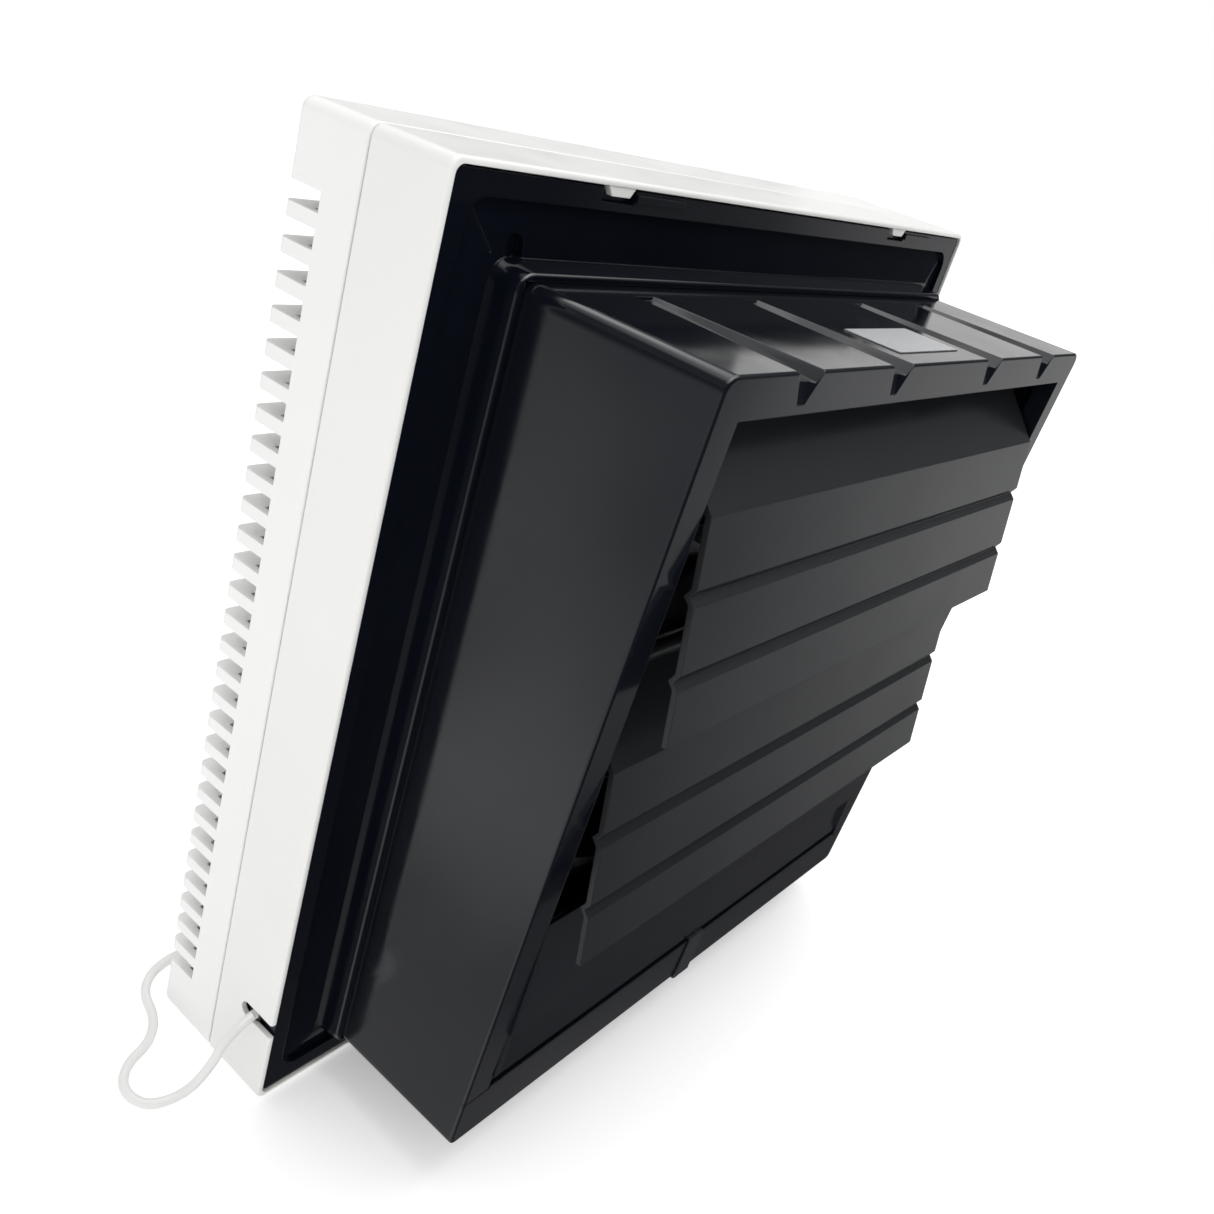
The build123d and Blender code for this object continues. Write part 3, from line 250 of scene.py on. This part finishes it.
def bumped(tree, shader, heights, bevel):
    """Softens edges by bevel in mm and adds bumps, each (height value, strength, depth in mm)."""
    edges = tree.nodes.new("ShaderNodeBevel")
    edges.samples = BEVEL_SAMPLES
    edges.inputs["Radius"].default_value = bevel * MM
    normal = edges.outputs["Normal"]
    for value, strength, depth in heights:
        bump = tree.nodes.new("ShaderNodeBump")
        bump.inputs["Strength"].default_value = strength
        bump.inputs["Distance"].default_value = depth * MM
        tree.links.new(value, bump.inputs["Height"])
        tree.links.new(normal, bump.inputs["Normal"])
        normal = bump.outputs["Normal"]
    tree.links.new(normal, shader.inputs["Normal"])


def moulded(name, dark, light, rough, warp=0.0, grain=0.0, bevel=0.5, coat=0.0, shine=0.5):
    """Injection-moulded plastic: faint flow mottling, uneven gloss, sink waviness and fine grain."""
    material, tree, shader = tree_of(name)
    mottle = ranged(tree, noise(tree, *MOTTLE), (0.0, 1.0))
    tree.links.new(mixed(tree, mottle, dark, light), shader.inputs["Base Color"])
    tree.links.new(ranged(tree, noise(tree, *SMEAR), rough), shader.inputs["Roughness"])
    shader.inputs["IOR"].default_value = PLASTIC_IOR
    shader.inputs["Specular IOR Level"].default_value = shine
    shader.inputs["Coat Weight"].default_value = coat
    shader.inputs["Coat Roughness"].default_value = COAT_ROUGHNESS
    heights = []
    if warp:
        heights.append((noise(tree, *SINKS), warp, SINK_DEPTH))
    if grain:
        heights.append((noise(tree, *GRAIN), grain, GRAIN_DEPTH))
    bumped(tree, shader, heights, bevel)
    return material


def metal(name, dark, light, rough, stretch, metallic=1.0):
    """Bare, plated or painted metal; an uneven stretch draws its fine mottling out into lines."""
    material, tree, shader = tree_of(name)
    lines = noise(tree, *LINES, stretch)
    shade = mixed(tree, ranged(tree, lines, (0.0, 1.0)), dark, light)
    tree.links.new(shade, shader.inputs["Base Color"])
    tree.links.new(ranged(tree, lines, rough), shader.inputs["Roughness"])
    shader.inputs["Metallic"].default_value = metallic
    bumped(tree, shader, [(lines, LINE_STRENGTH, LINE_DEPTH)], METAL_BEVEL)
    return material


def paint_nodes(material, *names):
    """Puts a material in every slot of some CAD nodes."""
    for name in names:
        for slot in NODES[name].material_slots:
            slot.material = material


# ---------------------------------------------------------------- plastics
WHITE = moulded(
    "white_frame", (0.82, 0.82, 0.80), (0.86, 0.86, 0.84),
    (0.30, 0.38), warp=0.06, bevel=0.6,
)
GRILLE_WHITE = moulded(
    "white_grille", (0.86, 0.86, 0.85), (0.90, 0.90, 0.89),
    (0.30, 0.38), warp=0.03, grain=0.1, bevel=0.4,
)
PLATE_BLACK = moulded(
    "plate_black", (0.0028, 0.0036, 0.007), (0.0045, 0.0058, 0.01),
    (0.06, 0.12), warp=0.10,
)
HOOD_BLACK = moulded(
    "hood_black", (0.0035, 0.0045, 0.0075), (0.0055, 0.007, 0.0105),
    (0.07, 0.14), warp=0.16,
)
FLAP_BLACK = moulded(
    "flap_black", (0.014, 0.0155, 0.0175), (0.018, 0.0195, 0.0215),
    (0.2, 0.24), warp=0.1, shine=0.4,
)
APRON_BLACK = moulded(
    "apron_black", (0.004, 0.005, 0.008), (0.006, 0.0075, 0.011),
    (0.1, 0.18), warp=0.14,
)
INNER_BLACK = moulded(
    "inner_black", (0.008, 0.009, 0.01), (0.014, 0.015, 0.017),
    (0.42, 0.55), grain=0.3, bevel=0.4,
)
CLIP_BLACK = moulded(
    "clip_black", (0.012, 0.013, 0.016), (0.018, 0.02, 0.024),
    (0.2, 0.3), grain=0.2, bevel=0.3,
)
BOX_BLACK = moulded(
    "box_black", (0.018, 0.019, 0.021), (0.03, 0.031, 0.034),
    (0.45, 0.6), grain=0.5, bevel=0.3,
)
NYLON = moulded("nylon", (0.55, 0.53, 0.46), (0.66, 0.64, 0.57), (0.35, 0.48), grain=0.2, bevel=0.2)
BOARD = moulded("board", (0.012, 0.07, 0.03), (0.02, 0.11, 0.05), (0.25, 0.4), bevel=0.1, coat=0.3)
BLOCK = moulded("block", (0.62, 0.62, 0.58), (0.7, 0.7, 0.66), (0.4, 0.5), grain=0.3, bevel=0.2)
RUBBER = moulded(
    "rubber", (0.012, 0.012, 0.012), (0.022, 0.022, 0.022),
    (0.6, 0.8), grain=0.8, bevel=0.3,
)
LEAD_BLACK = moulded(
    "lead_black", (0.014, 0.014, 0.015), (0.022, 0.022, 0.024),
    (0.35, 0.5), grain=0.3, bevel=0.1,
)
CORD_WHITE = moulded(
    "cord_white", (0.78, 0.78, 0.77), (0.84, 0.84, 0.83),
    (0.3, 0.42), grain=0.25, bevel=0.1,
)
PLUG_BLACK = moulded(
    "plug_black", (0.012, 0.012, 0.013), (0.02, 0.02, 0.022),
    (0.3, 0.45), grain=0.5, bevel=0.2,
)

# ---------------------------------------------------------------- metals
STEEL = metal("screw_steel", (0.42, 0.42, 0.44), (0.62, 0.62, 0.64), (0.22, 0.36), (1, 6, 1))
SHAFT = metal("shaft_steel", (0.45, 0.45, 0.47), (0.6, 0.6, 0.62), (0.15, 0.26), (8, 1, 8))
BEARING = metal("bearing_steel", (0.5, 0.5, 0.52), (0.66, 0.66, 0.68), (0.1, 0.2), (1, 8, 1))
LAMINATIONS = metal("laminations", (0.2, 0.2, 0.21), (0.34, 0.34, 0.36), (0.4, 0.55), (0.4, 9, 0.4))
COPPER = metal("copper", (0.45, 0.17, 0.07), (0.62, 0.26, 0.11), (0.24, 0.36), (1, 10, 1))
MAGNET = metal(
    "magnet", (0.05, 0.05, 0.055), (0.09, 0.09, 0.1),
    (0.5, 0.65), (2, 2, 2), metallic=0.6,
)
LABEL = metal(
    "label_silver", (0.52, 0.53, 0.54), (0.6, 0.61, 0.62),
    (0.34, 0.42), (1, 14, 1), metallic=0.7,
)
MOTOR_PAINT = metal(
    "motor_paint", (0.02, 0.021, 0.023), (0.035, 0.036, 0.04),
    (0.35, 0.5), (2, 2, 2), metallic=0.4,
)
BRACKET_PAINT = metal(
    "bracket_paint", (0.012, 0.013, 0.014), (0.022, 0.023, 0.025),
    (0.4, 0.55), (3, 3, 3), metallic=0.3,
)

# ---------------------------------------------------------------- the CAD pieces' finishes
paint_nodes(WHITE, "frame_shell")
paint_nodes(GRILLE_WHITE, "room_grille")
paint_nodes(PLATE_BLACK, "body_plate")
paint_nodes(HOOD_BLACK, "hood_shell")
paint_nodes(FLAP_BLACK, "flap_upper", "flap_lower")
paint_nodes(APRON_BLACK, "lower_apron")
paint_nodes(CLIP_BLACK, "apron_clip")
paint_nodes(LABEL, "rating_label")
paint_nodes(INNER_BLACK, "orifice_plate", "impeller")
paint_nodes(NYLON, "flap_bushes")
paint_nodes(STEEL, "flap_pins_upper", "flap_pins_lower", "plate_screws", "frame_screws")
paint_nodes(STEEL, "bracket_screws", "motor_screws", "cover_screws")
paint_nodes(SHAFT, "motor_shaft", "hub_nut")
paint_nodes(BEARING, "bearing_front", "bearing_rear")
paint_nodes(MOTOR_PAINT, "motor_front_shell", "motor_rear_shell")
paint_nodes(LAMINATIONS, "stator_core")
paint_nodes(COPPER, "stator_coils")
paint_nodes(MAGNET, "rotor_magnet")
paint_nodes(BRACKET_PAINT, "spider_bracket")
paint_nodes(RUBBER, "rubber_mounts", "lead_grommet")
paint_nodes(BOX_BLACK, "terminal_box", "terminal_cover")
paint_nodes(BOARD, "driver_board")
paint_nodes(BLOCK, "terminal_block")
paint_nodes(CORD_WHITE, "inner_lead")
paint_nodes(LEAD_BLACK, "motor_lead", "lead_ties", "coil_tie")
paint_nodes(PLUG_BLACK, "dc_plug")

# ---------------------------------------------------------------- the free cord
cord = nurbs("supply_cord", ROUTE + coil_points() + TAIL, CORD_DIAMETER / 2)
cord.data.materials.append(CORD_WHITE)
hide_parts("cord_tube", "cord_coil", "cord_tail")
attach(cord, "housing")


# ---------------------------------------------------------------- floor
FLOOR_REACH = 6.0  # metres each way
FLOOR_GAP = 0.0002  # metres of air under the fan
FLOOR_GREY = 0.9
FLOOR_ROUGHNESS = 0.7
FLOOR_GLOW = 0.32


def grey(level):
    """A grey as three numbers."""
    return (level, level, level)


def floor_material():
    """A plain matt white, with a little glow so that it meets the white behind it."""
    material, tree, shader = tree_of("floor_white")
    shader.inputs["Base Color"].default_value = (*grey(FLOOR_GREY), 1)
    shader.inputs["Roughness"].default_value = FLOOR_ROUGHNESS
    shader.inputs["Emission Color"].default_value = (1, 1, 1, 1)
    shader.inputs["Emission Strength"].default_value = FLOOR_GLOW
    return material


def add_floor():
    """A wide pale floor under the fan."""
    z = FLOOR_Z * MM + RIM.z - FLOOR_GAP
    signs = ((-1, -1), (1, -1), (1, 1), (-1, 1))
    corners = [(x * FLOOR_REACH, y * FLOOR_REACH, z) for x, y in signs]
    mesh = bpy.data.meshes.new("floor")
    mesh.from_pydata(corners, [], [(0, 1, 2, 3)])
    mesh.materials.append(floor_material())
    floor = new_object("floor", mesh)
    floor.visible_glossy = False


# ---------------------------------------------------------------- studio
BACKDROP = 1.0
ROOM_LIGHT = 0.86
SIDE_BLEND = 0.25  # the left and right skies meet over this much of X

# brightness as gloss sees it, by the sine of the height above the horizon
LEFT_SKY = [
    (-1.0, 0.8),
    (-0.5, 0.75),
    (-0.05, 0.5),
    (0.05, 0.12),
    (0.5, 0.18),
    (0.76, 0.2),
    (0.86, 2.2),
    (1.0, 2.4),
]
RIGHT_SKY = [
    (-1.0, 0.10),
    (-0.5, 0.14),
    (-0.38, 0.24),
    (-0.22, 0.42),
    (-0.06, 0.40),
    (0.01, 0.03),
    (0.1, 0.03),
    (0.25, 0.16),
    (0.5, 0.14),
    (0.7, 2.0),
    (1.0, 2.4),
]
FRONT_DIM = (-0.62, -0.44)  # the room darkens over this much of -Y
FRONT_LIGHT = 0.08  # share of the sky's brightness that is left there
PATCHES = (4.5, 0.5)  # the sky's unevenness, as a noise's scale and detail
PATCH_SPREAD = (0.38, 0.62)  # this part of the noise is stretched over the next range
PATCH_LIGHT = (0.6, 1.35)

# each light's place and size in metres and its power in watts
LIGHTS = {
    "overhead": ((0.1, -0.3, 1.9), (1.2, 1.0), 11.5),
    "right": ((1.9, 0.62, 0.68), (0.8, 0.4), 0.8),
}
LIGHTS_AIM = Vector((0.0, 0.0, RIM.z))


def sky_ramp(tree, share, stops):
    """A grey ramp over the height's share of its range from -1 to 1."""
    ramp = tree.nodes.new("ShaderNodeValToRGB")
    elements = ramp.color_ramp.elements
    while len(elements) < len(stops):
        elements.new(0.5)
    for element, (height, level) in zip(elements, stops):
        element.position = (height + 1) / 2
        element.color = (*grey(level), 1)
    tree.links.new(share, ramp.inputs["Fac"])
    return ramp.outputs["Color"]


def times(tree, colour, factor):
    """A linked colour scaled by a linked factor."""
    node = tree.nodes.new("ShaderNodeVectorMath")
    node.operation = "MULTIPLY"
    tree.links.new(colour, node.inputs[0])
    tree.links.new(factor, node.inputs[1])
    return node.outputs["Vector"]


def gloss_sky(tree):
    """The studio as gloss sees it: a bright ceiling, a dim room, a floor paler at the left."""
    place = tree.nodes.new("ShaderNodeTexCoord")
    parts = tree.nodes.new("ShaderNodeSeparateXYZ")
    tree.links.new(place.outputs["Generated"], parts.inputs["Vector"])
    height = ranged(tree, parts.outputs["Z"], (0.0, 1.0), (-1.0, 1.0))
    side = ranged(tree, parts.outputs["X"], (0.0, 1.0), (-SIDE_BLEND, SIDE_BLEND))
    sky = mixed(tree, side, sky_ramp(tree, height, LEFT_SKY), sky_ramp(tree, height, RIGHT_SKY))
    patches = noise(tree, *PATCHES, space="Generated")
    uneven = ranged(tree, patches, PATCH_LIGHT, PATCH_SPREAD)
    front = ranged(tree, parts.outputs["Y"], (FRONT_LIGHT, 1.0), FRONT_DIM)
    return times(tree, times(tree, sky, uneven), front)


def add_world():
    """An even pale room: white behind the fan, dimmer in its gloss so that black stays black."""
    world = bpy.data.worlds.new("studio")
    bpy.context.scene.world = world
    world.use_nodes = True
    tree = world.node_tree
    rays = tree.nodes.new("ShaderNodeLightPath")
    lit = mixed(tree, rays.outputs["Is Glossy Ray"], grey(ROOM_LIGHT), gloss_sky(tree))
    seen = mixed(tree, rays.outputs["Is Camera Ray"], lit, grey(BACKDROP))
    tree.links.new(seen, tree.nodes["Background"].inputs["Color"])


def area_light(name, place, size, power):
    """A soft rectangular light, turned to the fan."""
    data = bpy.data.lights.new(name, "AREA")
    data.shape = "RECTANGLE"
    data.size, data.size_y = size
    data.energy = power
    light = new_object(name, data)
    light.location = place
    direction = LIGHTS_AIM - Vector(place)
    light.rotation_euler = direction.to_track_quat("-Z", "Y").to_euler()


add_floor()
add_world()
# a large soft light overhead and a weak one at the right
for light_name, (light_place, light_size, light_power) in LIGHTS.items():
    area_light(light_name, light_place, light_size, light_power)
bpy.context.scene.view_settings.view_transform = "Standard"
